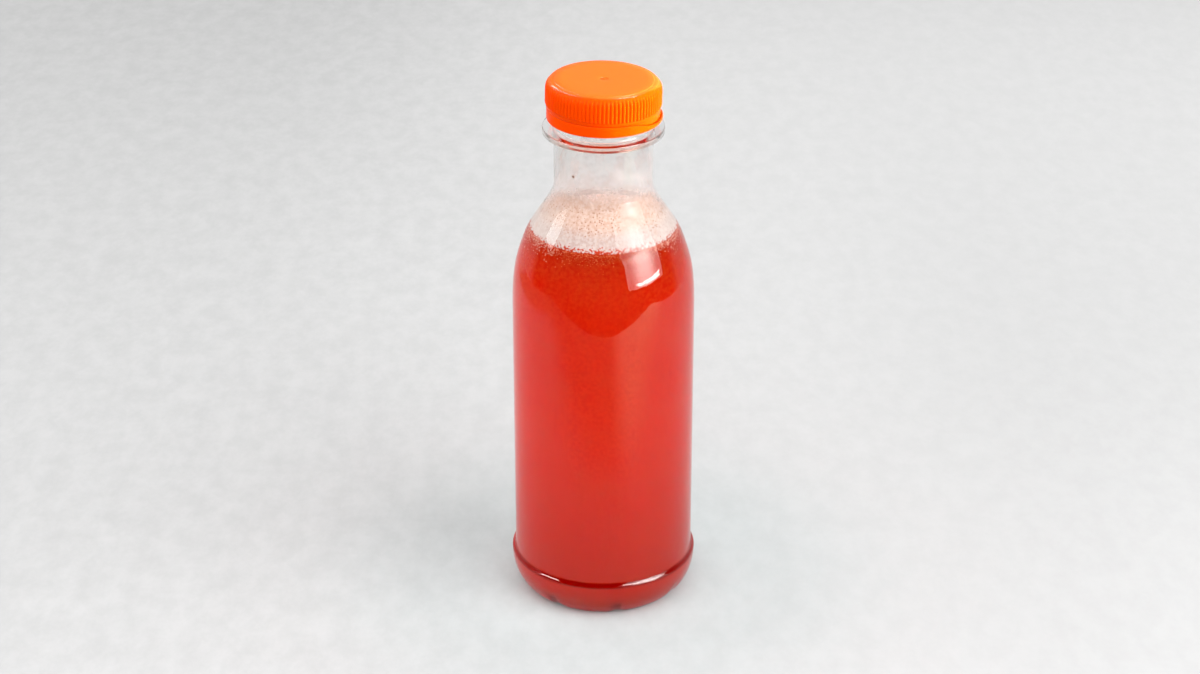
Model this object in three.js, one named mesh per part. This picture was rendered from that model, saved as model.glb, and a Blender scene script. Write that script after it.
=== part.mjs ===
// A clear half-litre juice bottle with a ribbed screw cap, filled with cloudy red lemonade.
// Millimetres, +Z up. The origin is the middle of the base, on the surface that the bottle
// stands on, and -Y is the front. Azimuths are turned from the front towards +X.
import * as THREE from "three";

// Heights of the bottle, from the table up
const HEEL_TOP = 13.3;
const PANEL_BOTTOM = 15.1;
const PANEL_TOP = 112.5;
const SHOULDER_MIDDLE = 140.6;
const NECK_BOTTOM = 160.7;
const FLANGE_BOTTOM = 180.3;
const FLANGE_TOP = 182.5;
const BEAD_BOTTOM = 185.6;
const BEAD_TOP = 187.1;
const RIM = 197.6;

// Radii of the bottle
const FOOT_INNER_R = 26.8;
const FOOT_OUTER_R = 28.2;
const HEEL_R = 34.1;
const PANEL_R = 32.85;
const SHOULDER_MIDDLE_R = 28.4;
const NECK_R = 17.65;
const FLANGE_R = 21.6;
const BEAD_R = 18.4;

// How the outline bends
const BASE_PUSH_UP = 5.5;
const HEEL_SLOPE = THREE.MathUtils.degToRad(33);
const HEEL_REACH = 6.6;
const SHOULDER_SLOPE = THREE.MathUtils.degToRad(16.6);

// Eight notches part the feet round the bottom of the heel
const NOTCHES = 8;
const NOTCH_AZIMUTH = THREE.MathUtils.degToRad(10.5);
const NOTCH_HALF_ANGLE = THREE.MathUtils.degToRad(7);
const NOTCH_DEPTH = 1.6;
const NOTCH_TOP = 8;
const NOTCH_INNER_R = 12;

// Thickness of the blown wall
const BASE_WALL = 1.2;
const BODY_WALL = 0.5;
const FINISH_WALL = 1.9;
const WALL_THINS_TO = 12;
const WALL_THICKENS_FROM = 154;
const WALL_THICK_AT = 168;

// What is in the bottle
const LIQUID_LEVEL = 144.4;
const FOAM_TOP = 148.7;
const FOAM_DISH = 0.35;
const CONTENTS_GAP = 0.35;

// The cap, its ribs and the band below them
const CAP_TOP = 199.8;
const CAP_PANEL = 1.4;
const CAP_R = 20.5;
const CAP_INNER_R = 19.0;
const CAP_DISC_R = 17.2;
const CAP_CORNER_DROP = 4.5;
const CAP_CORNER_POWER = 2.2;
const CAP_TILT = THREE.MathUtils.degToRad(1.6);
const CAP_PIVOT = 193;
const GATE_R = 1.1;
const GATE_DEPTH = 0.25;
const RIBS = 90;
const RIB_DEPTH = 0.35;
const RIBS_BOTTOM = 190.6;
const RIBS_FULL_FROM = 191;
const RIBS_EASE_FROM = 196.6;
const RIBS_TOP = 199.1;
const RIBS_FULL_TO = 198.2;
const SEAM = 189.5;
const SEAM_DROP = 1.6;
const SEAM_GAP = 0.35;
const BAND_BOTTOM = 185.6;
const BAND_R = 20.45;
const BAND_INNER_R = 19.1;
const BAND_SHIFT = 0.35;

// How finely each piece is faceted round the axis
const BOTTLE_COLUMNS = 72;
const CONTENTS_COLUMNS = 40;
const CAP_COLUMNS = 2 * RIBS;
const BAND_COLUMNS = 72;

const FINISH_R = NECK_R - 0.15;
const at = (r, z) => new THREE.Vector2(r, z);

// A smooth stretch of outline without its first point.
function bend(from, fromHandle, toHandle, to, steps) {
  const curve = new THREE.CubicBezierCurve(from, fromHandle, toHandle, to);
  return curve.getPoints(steps).slice(1);
}

// The outside of the blown body from the middle of the base to the neck, without flange or bead.
function bodyLine(detail) {
  const centre = at(0, BASE_PUSH_UP);
  const footInner = at(FOOT_INNER_R, 0);
  const footOuter = at(FOOT_OUTER_R, 0);
  const heelHandle = at(
    FOOT_OUTER_R + HEEL_REACH * Math.cos(HEEL_SLOPE),
    HEEL_REACH * Math.sin(HEEL_SLOPE),
  );
  const heelTop = at(HEEL_R, HEEL_TOP);
  const grooveMiddle = at((HEEL_R + PANEL_R) / 2, (HEEL_TOP + PANEL_BOTTOM) / 2);
  const panelBottom = at(PANEL_R, PANEL_BOTTOM);
  const panelTop = at(PANEL_R, PANEL_TOP);
  const middle = at(SHOULDER_MIDDLE_R, SHOULDER_MIDDLE);
  const along = at(-Math.sin(SHOULDER_SLOPE), Math.cos(SHOULDER_SLOPE));
  const neckBottom = at(NECK_R, NECK_BOTTOM);
  return [
    centre,
    ...bend(centre, at(14, BASE_PUSH_UP), at(23, 0.6), footInner, detail + 1),
    footOuter,
    ...bend(footOuter, heelHandle, at(HEEL_R, HEEL_TOP - 1.3), heelTop, detail + 1),
    ...bend(heelTop, at(HEEL_R, HEEL_TOP + 0.6), grooveMiddle, grooveMiddle, 2),
    ...bend(grooveMiddle, grooveMiddle, at(PANEL_R, PANEL_BOTTOM - 0.4), panelBottom, 1),
    panelTop,
    ...bend(panelTop, at(PANEL_R, PANEL_TOP + 16), middle.clone().addScaledVector(along, -10), middle, detail + 1),
    ...bend(middle, middle.clone().addScaledVector(along, 5), at(NECK_R, NECK_BOTTOM - 5), neckBottom, detail + 1),
  ];
}

// Thick in the base, thin up the body and thick again where the neck isn't blown.
function wallAt(point) {
  const below = THREE.MathUtils.smoothstep(point.y, 2, WALL_THINS_TO);
  const above = THREE.MathUtils.smoothstep(point.y, WALL_THICKENS_FROM, WALL_THICK_AT);
  const thin = THREE.MathUtils.lerp(BASE_WALL, BODY_WALL, below);
  return THREE.MathUtils.lerp(thin, FINISH_WALL, above);
}

// The same line moved inwards, square to itself, by a distance that may change along it.
function inset(line, distance) {
  return line.map((point, i) => {
    const before = line[Math.max(i - 1, 0)];
    const after = line[Math.min(i + 1, line.length - 1)];
    const along = after.clone().sub(before).normalize();
    const moved = point.clone().add(at(-along.y, along.x).multiplyScalar(distance(point)));
    moved.x = i === 0 ? 0 : moved.x;
    return moved;
  });
}

// The inside of the bottle from the middle of the base to the rim.
function boreLine() {
  const boreR = FINISH_R - FINISH_WALL;
  const body = inset(bodyLine(2), wallAt).filter((point) => point.y < NECK_BOTTOM - 1);
  return [...body, at(boreR + 0.6, WALL_THICK_AT - 4), at(boreR, WALL_THICK_AT + 3), at(boreR, RIM)];
}

// The part of a rising line below one height, with a last point exactly at it.
function upTo(line, height) {
  const next = line.findIndex((point) => point.y > height && point.x > NECK_R);
  const last = line[next - 1];
  const share = (height - last.y) / (line[next].y - last.y);
  return [...line.slice(0, next), last.clone().lerp(line[next], share)];
}

// The radius of a line at one height of the shoulder.
function radiusAt(line, height) {
  return upTo(line, height).at(-1).x;
}

// How far the nearest notch pushes the wall in at one azimuth, from 0 to 1.
function notchShare(azimuth) {
  const pitch = (2 * Math.PI) / NOTCHES;
  const turn = (azimuth - NOTCH_AZIMUTH) / pitch;
  const off = Math.abs(turn - Math.round(turn)) * pitch;
  return off < NOTCH_HALF_ANGLE ? Math.cos((Math.PI / 2) * (off / NOTCH_HALF_ANGLE)) ** 2 : 0;
}

// Pushes the base wall up and in at the notches. They fade out up the heel and towards the middle.
function notched(point, azimuth) {
  const upHeel = THREE.MathUtils.clamp(1 - point.y / NOTCH_TOP, 0, 1);
  const outwards = THREE.MathUtils.clamp((point.x - NOTCH_INNER_R) / (FOOT_INNER_R - NOTCH_INNER_R), 0, 1);
  const push = NOTCH_DEPTH * upHeel * outwards * notchShare(azimuth);
  return at(point.x - 0.6 * push, point.y + 0.8 * push);
}

// Turns an outline round the Z axis, with its points moved by a rule that may depend on the azimuth.
function turned(line, columns, start, rule) {
  const geometry = new THREE.LatheGeometry(line, columns, start);
  const place = geometry.getAttribute("position");
  for (let i = 0; i < place.count; i++) {
    const column = Math.floor(i / line.length) % columns;
    const azimuth = start + (column * 2 * Math.PI) / columns;
    const point = rule(line[i % line.length], azimuth, column);
    place.setXYZ(i, point.x * Math.sin(azimuth), point.y, point.x * Math.cos(azimuth));
  }
  geometry.rotateX(Math.PI / 2);
  return geometry;
}

const plain = (point) => point;

function bottle() {
  const outside = [
    ...bodyLine(4),
    at(NECK_R, FLANGE_BOTTOM - 0.7),
    at(NECK_R + 0.7, FLANGE_BOTTOM),
    at(FLANGE_R - 0.3, FLANGE_BOTTOM),
    at(FLANGE_R, FLANGE_BOTTOM + 0.3),
    at(FLANGE_R, FLANGE_TOP - 0.4),
    at(FLANGE_R - 0.5, FLANGE_TOP),
    at(FINISH_R, FLANGE_TOP + 0.25),
    at(FINISH_R, BEAD_BOTTOM),
    at(BEAD_R, BEAD_BOTTOM + 0.3),
    at(FINISH_R, BEAD_TOP),
    at(FINISH_R, RIM),
  ];
  return turned([...outside, ...boreLine().reverse()], BOTTLE_COLUMNS, NOTCH_AZIMUTH, notched);
}

function lemonade() {
  const side = inset(upTo(boreLine(), LIQUID_LEVEL + 2), () => CONTENTS_GAP);
  const line = [...upTo(side, LIQUID_LEVEL), at(0, LIQUID_LEVEL)];
  return turned(line, CONTENTS_COLUMNS, NOTCH_AZIMUTH, notched);
}

function foam() {
  const bore = boreLine();
  const bottom = LIQUID_LEVEL + CONTENTS_GAP;
  const bottomR = radiusAt(bore, bottom) - CONTENTS_GAP - 0.15;
  const topR = radiusAt(bore, FOAM_TOP) - CONTENTS_GAP - 0.15;
  const line = [
    at(0, bottom),
    at(bottomR, bottom),
    at(topR, FOAM_TOP),
    at(topR - 1.2, FOAM_TOP - 0.1),
    at(topR * 0.6, FOAM_TOP - FOAM_DISH),
    at(0, FOAM_TOP - FOAM_DISH),
  ];
  return turned(line, CONTENTS_COLUMNS, NOTCH_AZIMUTH, plain);
}

// The lower edge of the cap: level, but torn lower on the right.
function seamAt(azimuth) {
  return SEAM - SEAM_DROP * THREE.MathUtils.smoothstep(Math.sin(azimuth), 0.45, 0.95);
}

// The radius of the cap's plain wall, between its ribs, at one height of its rounded top corner.
function cornerR(height) {
  const down = THREE.MathUtils.clamp((CAP_TOP - height) / CAP_CORNER_DROP, 0, 1);
  const out = (1 - (1 - down) ** CAP_CORNER_POWER) ** (1 / CAP_CORNER_POWER);
  return THREE.MathUtils.lerp(CAP_DISC_R, CAP_R - RIB_DEPTH, out);
}

// How far the ribs stand out at one height: nothing at either end and full in between.
function ribAt(height) {
  const up = THREE.MathUtils.clamp((height - RIBS_BOTTOM) / (RIBS_FULL_FROM - RIBS_BOTTOM), 0, 1);
  const down = THREE.MathUtils.clamp((RIBS_TOP - height) / (RIBS_TOP - RIBS_FULL_TO), 0, 1);
  return RIB_DEPTH * Math.min(up, down);
}

function cap() {
  const innerTop = CAP_TOP - CAP_PANEL;
  const wall = [RIBS_BOTTOM, RIBS_FULL_FROM, RIBS_EASE_FROM, RIBS_FULL_TO, RIBS_TOP];
  const line = [
    at(0, innerTop),
    at(CAP_INNER_R, innerTop),
    at(CAP_INNER_R, SEAM),
    at(CAP_R - RIB_DEPTH, SEAM),
    ...wall.map((height) => at(cornerR(height), height)),
    at(CAP_DISC_R, CAP_TOP),
    at(GATE_R, CAP_TOP),
    at(GATE_R * 0.6, CAP_TOP - GATE_DEPTH),
    at(0, CAP_TOP - GATE_DEPTH),
  ];
  const shape = (point, azimuth, column) => {
    const onWall = point.x > CAP_INNER_R && point.y > SEAM;
    const out = onWall && column % 2 === 0 ? ribAt(point.y) : 0;
    return at(point.x + out, point.y === SEAM ? seamAt(azimuth) : point.y);
  };
  return turned(line, CAP_COLUMNS, 0, shape);
}

// The band parts from the cap along the seam, so its top follows the tilted cap's lower edge.
function band() {
  const line = [
    at(BAND_INNER_R, SEAM),
    at(BAND_INNER_R, BAND_BOTTOM),
    at(BAND_R - 0.3, BAND_BOTTOM),
    at(BAND_R, BAND_BOTTOM + 0.5),
    at(BAND_R - 0.1, SEAM),
    at(BAND_INNER_R, SEAM),
  ];
  const shape = (point, azimuth) => {
    const tilted = seamAt(azimuth) - SEAM_GAP - point.x * Math.sin(azimuth) * Math.tan(CAP_TILT);
    return at(point.x, point.y === SEAM ? tilted : point.y);
  };
  return turned(line, BAND_COLUMNS, 0, shape);
}

function piece(name, geometry, colour, roughness) {
  const material = new THREE.MeshStandardMaterial({ color: colour, roughness, metalness: 0 });
  const mesh = new THREE.Mesh(geometry, material);
  mesh.name = name;
  return mesh;
}

const clearPlastic = piece("bottle", bottle(), 0xe6eaea, 0.05);
clearPlastic.material.transparent = true;
clearPlastic.material.opacity = 0.3;

const capMesh = piece("cap", cap().translate(0, 0, -CAP_PIVOT), 0xff6a0a, 0.35);
const cocked = new THREE.Group();
cocked.position.z = CAP_PIVOT;
cocked.rotation.y = CAP_TILT;
cocked.add(capMesh);

const bandMesh = piece("tamper_band", band(), 0xff6a0a, 0.35);
bandMesh.position.x = BAND_SHIFT;

const part = new THREE.Group();
part.add(clearPlastic, cocked, bandMesh);
part.add(piece("lemonade", lemonade(), 0xd8321e, 0.4));
part.add(piece("foam", foam(), 0xf3d6c6, 0.8));

export default part;
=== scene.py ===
import math

import bmesh
import bpy
import numpy as np
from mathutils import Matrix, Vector


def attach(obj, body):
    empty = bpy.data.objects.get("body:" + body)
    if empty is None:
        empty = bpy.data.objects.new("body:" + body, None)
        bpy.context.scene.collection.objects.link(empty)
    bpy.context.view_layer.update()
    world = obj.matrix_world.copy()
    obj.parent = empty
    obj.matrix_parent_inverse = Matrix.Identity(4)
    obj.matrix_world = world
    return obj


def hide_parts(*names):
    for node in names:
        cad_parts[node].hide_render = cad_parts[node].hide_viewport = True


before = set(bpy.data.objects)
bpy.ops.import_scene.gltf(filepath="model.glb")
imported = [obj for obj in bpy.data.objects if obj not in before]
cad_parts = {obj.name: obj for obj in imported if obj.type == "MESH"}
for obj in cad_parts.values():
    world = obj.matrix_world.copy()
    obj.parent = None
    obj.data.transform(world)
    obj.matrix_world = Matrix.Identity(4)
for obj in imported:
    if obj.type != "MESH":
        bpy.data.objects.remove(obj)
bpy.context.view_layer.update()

MM = 0.001
SEED = 11

# Heights of the bottle, from the table up
HEEL_TOP = 13.2
LEDGE_TOP = 14.3
PANEL_BOTTOM = 15.7
PANEL_TOP = 112.5
SHOULDER_MIDDLE = 140.7
NECK_BOTTOM = 160.7
FLANGE_BOTTOM = 180.3
FLANGE_TOP = 182.5
BEAD_BOTTOM = 185.6
BEAD_TOP = 187.1
RIM = 197.6

# Radii of the bottle
FOOT_INNER_R = 26.8
FOOT_OUTER_R = 28.2
HEEL_R = 34.09
LEDGE_R = 33.5
PANEL_R = 32.85
SHOULDER_MIDDLE_R = 28.25
NECK_R = 17.65
FINISH_R = NECK_R - 0.15
FLANGE_R = 21.6
BEAD_R = 18.4

# How the outline bends. A pull is how far the handle of a curve lies from its end
BASE_PUSH_UP = 5.5
BASE_FLAT_R = 14
BASE_EDGE_HANDLE = (23, 0.6)
HEEL_SLOPE = math.radians(33)
HEEL_PULL = 6.6
HEEL_TOP_PULL = 2.0
LEDGE_PULL = 0.6
LEDGE_OUTER_HANDLE = (0.38, -0.14)
LEDGE_INNER_HANDLE = (-0.42, 0.16)
PANEL_BOTTOM_PULL = 0.6
PANEL_TOP_PULL = 15.4
SHOULDER_SLOPE = math.radians(20.5)
SHOULDER_LOW_PULL = 8.8
SHOULDER_HIGH_PULL = 6.2
NECK_PULL = 4.7
OUTLINE_STEPS = 30
TURN_STEPS = 288

# How the flange, the bead and the rim are rounded
FLANGE_FILLET = 0.4
FLANGE_LOW_EDGE = 0.25
FLANGE_HIGH_EDGE = 0.3
FLANGE_FALL = 0.05
FLANGE_RISE = 0.1
COLLAR_FILLET = 0.6
BEAD_ROUND = 0.5
RIM_ROUND = 0.4

# Eight notches part the feet round the bottom of the heel
NOTCHES = 8
NOTCH_AZIMUTH = math.radians(10.5)
NOTCH_HALF_ANGLE = math.radians(7)
NOTCH_DEPTH = 1.1
NOTCH_IN = 0.6
NOTCH_UP = 0.15
NOTCH_TOP = 8
NOTCH_INNER_R = 12

# Thickness of the blown wall, and how far its contents reach into it
BASE_WALL = 0.35
BODY_WALL = 0.5
FINISH_WALL = 1.9
BASE_WALL_UP_TO = 2
BODY_WALL_FROM = 12
BODY_WALL_UP_TO = 160
FINISH_WALL_FROM = 177
BORE_BENDS_FROM = NECK_BOTTOM - 1
BORE_STRAIGHT_FROM = FINISH_WALL_FROM + 3
BORE_PULL = 5
BITE = 0.15

# What is in the bottle
LIQUID_LEVEL = 144.4
FOAM_TOP = 148.7
FOAM_DISH = 0.35
FOAM_SUNK = 1.5
FOAM_EDGE = 1.2
FOAM_EDGE_DROOP = 0.35
FILM_BOTTOM = FOAM_TOP - 2.5
FILM_TOP = 179
FILM_THICKNESS = 0.1

# What is scattered in the foam and below it: how many, and the least and largest radius
PORES = 330
PORE_R = (0.22, 0.42)
LARGE_BUBBLES = 150
LARGE_BUBBLE_R = (0.6, 1.9)
RIM_BUBBLES = 3600
RIM_BUBBLE_R = (0.09, 0.25)
SIDE_BUBBLE_EXTRA = 0.15
RIM_BUBBLE_DEPTH = 1.7
RIM_BUBBLE_DEEPEST = 14

# Relief of the foam's top
PORE_DEPTH = 0.35
BUBBLE_RIM = 0.16
BUBBLE_RIM_WIDTH = 0.18
BUBBLE_DIP = 0.12

# A crumb of pulp inside the neck
SPECK_AZIMUTH = math.radians(-38.7)
SPECK_HEIGHT = 168.4
SPECK_R = 0.5
SPECK_IN_WALL = 0.12

# The cap, its ribs and the band below them
CAP_TOP = 199.8
CAP_PANEL = 1.4
CAP_R = 20.5
CAP_INNER_R = 19.0
CAP_DISC_R = 17.5
CAP_CORNER_DROP = 4.5
CAP_STEP = 0.15
CAP_CORNER_POWER = 2.4
CAP_TILT = math.radians(1.2)
CAP_PIVOT = 193
CAP_DISC_EDGE = 0.15
GATE_R = 1.5
GATE_EDGE = 0.3
GATE_DEPTH = 0.2
NUB_R = 0.45
NUB_TOP_R = 0.3
NUB_DEPTH = 0.05
RIBS = 90
RIB_STEPS = 12
RIB_DEPTH = 0.42
RIB_BLUNTNESS = 0.45
RIBS_BOTTOM = 190.6
RIBS_FULL_FROM = 191.2
RIBS_TOP = 199.1
RIBS_FULL_TO = 197.6
SEAM = 189.5
SEAM_DROP = 2.3
SEAM_GAP = 0.1
SEAM_EDGE = 0.15
BAND_BOTTOM = 185.6
BAND_R = 20.45
BAND_INNER_R = 19.1
BAND_ROUND = 0.4
BAND_EDGE = 0.25
BAND_SHIFT = 0.35

# The camera, and the point on the bottle's axis that it turns about
LENS = 85
SENSOR = 36
PITCH = math.radians(26.4)
DISTANCE = 1029
AIM_HEIGHT = 99.5
CAMERA_X = -1.235

# How bright the room is on the left and right and overhead, where the board in the picture is 0.8
GLOW_LEFT = 3.1
GLOW_RIGHT = 0.0
GLOW_OVERHEAD = 2.45
GLOW_THROUGH = 0.75

# The height that the lamps point at
LAMPS_AIM = 145


def smoothstep(x, low, high):
    share = np.clip((np.asarray(x, float) - low) / (high - low), 0, 1)
    return share * share * (3 - 2 * share)


# Outlines: arrays of (radius, height)


def bend(start, start_handle, end_handle, end, steps):
    """A cubic Bezier stretch of outline without its first point."""
    t = np.linspace(0, 1, steps + 1)[1:, None]
    a, b, c, d = (np.asarray(p, float) for p in (start, start_handle, end_handle, end))
    return (1 - t) ** 3 * a + 3 * (1 - t) ** 2 * t * b + 3 * (1 - t) * t**2 * c + t**3 * d


def arc(centre, radius, start, end, steps):
    """A round stretch of outline, with angles in degrees from the radius axis up."""
    turn = np.radians(np.linspace(start, end, steps + 1))
    return np.column_stack([centre[0] + radius * np.cos(turn), centre[1] + radius * np.sin(turn)])


def straight(start, end, steps):
    """A straight stretch without its first point."""
    t = np.linspace(0, 1, steps + 1)[1:, None]
    return np.asarray(start, float) * (1 - t) + np.asarray(end, float) * t


def body_line():
    """The outside of the blown body from the middle of the base to the neck."""
    steps = OUTLINE_STEPS
    centre = np.array([0, BASE_PUSH_UP])
    foot_inner = np.array([FOOT_INNER_R, 0])
    foot_outer = np.array([FOOT_OUTER_R, 0])
    heel_handle = foot_outer + HEEL_PULL * np.array([math.cos(HEEL_SLOPE), math.sin(HEEL_SLOPE)])
    heel_top = np.array([HEEL_R, HEEL_TOP])
    ledge = np.array([LEDGE_R, LEDGE_TOP])
    panel_bottom = np.array([PANEL_R, PANEL_BOTTOM])
    panel_top = np.array([PANEL_R, PANEL_TOP])
    middle = np.array([SHOULDER_MIDDLE_R, SHOULDER_MIDDLE])
    along = np.array([-math.sin(SHOULDER_SLOPE), math.cos(SHOULDER_SLOPE)])
    neck_bottom = np.array([NECK_R, NECK_BOTTOM])
    return np.vstack([
        centre,
        bend(centre, (BASE_FLAT_R, BASE_PUSH_UP), BASE_EDGE_HANDLE, foot_inner, steps),
        straight(foot_inner, foot_outer, 2),
        bend(foot_outer, heel_handle, heel_top - [0, HEEL_TOP_PULL], heel_top, steps),
        bend(heel_top, heel_top + [0, LEDGE_PULL], ledge + LEDGE_OUTER_HANDLE, ledge, 12),
        bend(ledge, ledge + LEDGE_INNER_HANDLE, panel_bottom - [0, PANEL_BOTTOM_PULL], panel_bottom, 14),
        straight(panel_bottom, panel_top, 24),
        bend(panel_top, panel_top + [0, PANEL_TOP_PULL], middle - SHOULDER_LOW_PULL * along, middle, steps),
        bend(middle, middle + SHOULDER_HIGH_PULL * along, neck_bottom - [0, NECK_PULL], neck_bottom, steps),
    ])


def wall_at(line):
    """Thin in the base, a little thicker up the body and thick where the neck isn't blown."""
    up_body = smoothstep(line[:, 1], BASE_WALL_UP_TO, BODY_WALL_FROM)
    up_neck = smoothstep(line[:, 1], BODY_WALL_UP_TO, FINISH_WALL_FROM)
    blown = BASE_WALL + (BODY_WALL - BASE_WALL) * up_body
    return blown + (FINISH_WALL - blown) * up_neck


def inwards(line):
    """The direction square to the bottle's outline and into the bottle, at each of its points."""
    along = np.gradient(line, axis=0)
    along /= np.linalg.norm(along, axis=1)[:, None]
    return np.column_stack([-along[:, 1], along[:, 0]])


def inset(line, distance):
    """A line that starts on the axis, moved inwards, square to itself."""
    moved = line + inwards(line) * np.reshape(distance, (-1, 1))
    moved[0, 0] = 0
    return moved


def bore_line(deeper=0.0):
    """The inside of the bottle from the middle of the base to the neck's straight part, moved
    deeper into the wall."""
    body = body_line()
    body = inset(body, wall_at(body) - deeper)
    body = body[: int(np.argmax(body[:, 1] > BORE_BENDS_FROM))]
    lead = body[-1] + (body[-1] - body[-2]) * 4
    neck_start = np.array([FINISH_R - FINISH_WALL + deeper, BORE_STRAIGHT_FROM])
    neck = bend(body[-1], lead, neck_start - [0, BORE_PULL], neck_start, 16)
    return np.vstack([body, neck])


def below(line, height):
    """The part of a rising line below one height, with a last point exactly at it."""
    first = int(np.argmax(line[:, 1] > height))
    last = line[first - 1]
    share = (height - last[1]) / (line[first, 1] - last[1])
    return np.vstack([line[:first], last + share * (line[first] - last)])


def bore_r(height, deeper=0.0):
    """The radius of the bore at one height of the shoulder."""
    return below(bore_line(deeper), height)[-1, 0]


def from_notch(azimuth):
    """The angle past the middle of the nearest notch."""
    pitch = 2 * math.pi / NOTCHES
    turn = (azimuth - NOTCH_AZIMUTH) / pitch
    return (turn - np.round(turn)) * pitch


def notched(r, z, azimuth):
    """Pushes the base wall up and in at the notches. They fade out up the heel and inwards."""
    off = np.abs(from_notch(azimuth))
    share = np.where(off < NOTCH_HALF_ANGLE, np.cos(math.pi / 2 * off / NOTCH_HALF_ANGLE) ** 2, 0)
    up_heel = np.clip(1 - z / NOTCH_TOP, 0, 1)
    outwards = np.clip((r - NOTCH_INNER_R) / (FOOT_INNER_R - NOTCH_INNER_R), 0, 1)
    push = NOTCH_DEPTH * up_heel * outwards * share
    return r - NOTCH_IN * push, z + NOTCH_UP * push


def notch_shade(z, azimuth):
    """How dark the drink shows behind a notch: it grows from the left, ends sharply on the right
    and fades out up the heel."""
    off = np.degrees(from_notch(azimuth))
    from_left = smoothstep(off, -9, -1.5)
    to_right = 1 - smoothstep(off, 0.8, 2.2)
    low_down = 1 - smoothstep(z, 4.5, NOTCH_TOP)
    return from_left * to_right * low_down


# Meshes


def mesh_piece(name, points, faces):
    """A smooth piece from points in millimetres and lists of corners."""
    mesh = bpy.data.meshes.new(name)
    mesh.from_pydata((np.asarray(points) * MM).tolist(), [], faces)
    mesh.validate()
    mesh.shade_smooth()
    made = bpy.data.objects.new(name, mesh)
    bpy.context.scene.collection.objects.link(made)
    return made


def points_of(piece):
    """The piece's points in millimetres."""
    points = np.empty(len(piece.data.vertices) * 3)
    piece.data.vertices.foreach_get("co", points)
    return points.reshape(-1, 3) / MM


def mark(piece, name, values):
    """Gives each point a value from 0 to 1 that the piece's material reads by name."""
    piece.data.attributes.new(name, "FLOAT", "POINT").data.foreach_set("value", values)


def ring_faces(rings, columns, closed):
    """Quads between neighbouring rings of points, all turned to face out of a rising outline."""
    row = np.arange(rings if closed else rings - 1)
    column = np.arange(columns)
    low = row[:, None] * columns + column
    low_next = row[:, None] * columns + (column + 1) % columns
    up = (row[:, None] + 1) % rings * columns + column
    up_next = (row[:, None] + 1) % rings * columns + (column + 1) % columns
    return np.stack([low, low_next, up_next, up], axis=-1).reshape(-1, 4).tolist()


def turned(name, line, columns, rule=None, closed=False, place=None):
    """Turns an outline round the Z axis. rule moves its points by azimuth, place moves the points
    in space. An outline that isn't closed on itself starts and ends on the axis."""
    azimuth = np.arange(columns) * 2 * math.pi / columns
    rings = line if closed else line[1:-1]
    r = np.repeat(rings[:, 0][:, None], columns, axis=1)
    z = np.repeat(rings[:, 1][:, None], columns, axis=1)
    if rule:
        r, z = rule(r, z, azimuth[None, :])
    points = np.stack([r * np.sin(azimuth), -r * np.cos(azimuth), z], axis=-1).reshape(-1, 3)
    faces = ring_faces(len(rings), columns, closed)
    if not closed:
        bottom, top = len(points), len(points) + 1
        last = len(points) - columns
        points = np.vstack([points, [0, 0, line[0, 1]], [0, 0, line[-1, 1]]])
        faces += [[bottom, (i + 1) % columns, i] for i in range(columns)]
        faces += [[last + i, last + (i + 1) % columns, top] for i in range(columns)]
    if place:
        points = place(points)
    return mesh_piece(name, points, faces)


# Node trees


class Tree:
    """A node tree, with short calls that add and join its nodes."""

    def __init__(self, tree):
        self.tree = tree
        self.tree.nodes.clear()

    def add(self, kind, inputs=None, **settings):
        made = self.tree.nodes.new(kind)
        for key, value in settings.items():
            setattr(made, key, value)
        for key, value in (inputs or {}).items():
            if isinstance(value, bpy.types.NodeSocket):
                self.tree.links.new(value, made.inputs[key])
            else:
                made.inputs[key].default_value = value
        return made

    def between(self, value, low, high, to_low=0.0, to_high=1.0):
        """Moves smoothly from one value to another as its input goes from low to high."""
        inputs = {"Value": value, "From Min": low, "From Max": high, "To Min": to_low, "To Max": to_high}
        return self.add("ShaderNodeMapRange", inputs, interpolation_type="SMOOTHSTEP").outputs["Result"]

    def math(self, operation, a, b=0.0, c=0.0):
        return self.add("ShaderNodeMath", {0: a, 1: b, 2: c}, operation=operation).outputs["Value"]

    def product(self, a, b):
        return self.math("MULTIPLY", a, b)

    def switch(self, share, a, b):
        """The number a at share 0 and b at share 1."""
        return self.add("ShaderNodeMix", {0: share, 2: a, 3: b}, data_type="FLOAT").outputs[0]


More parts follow.
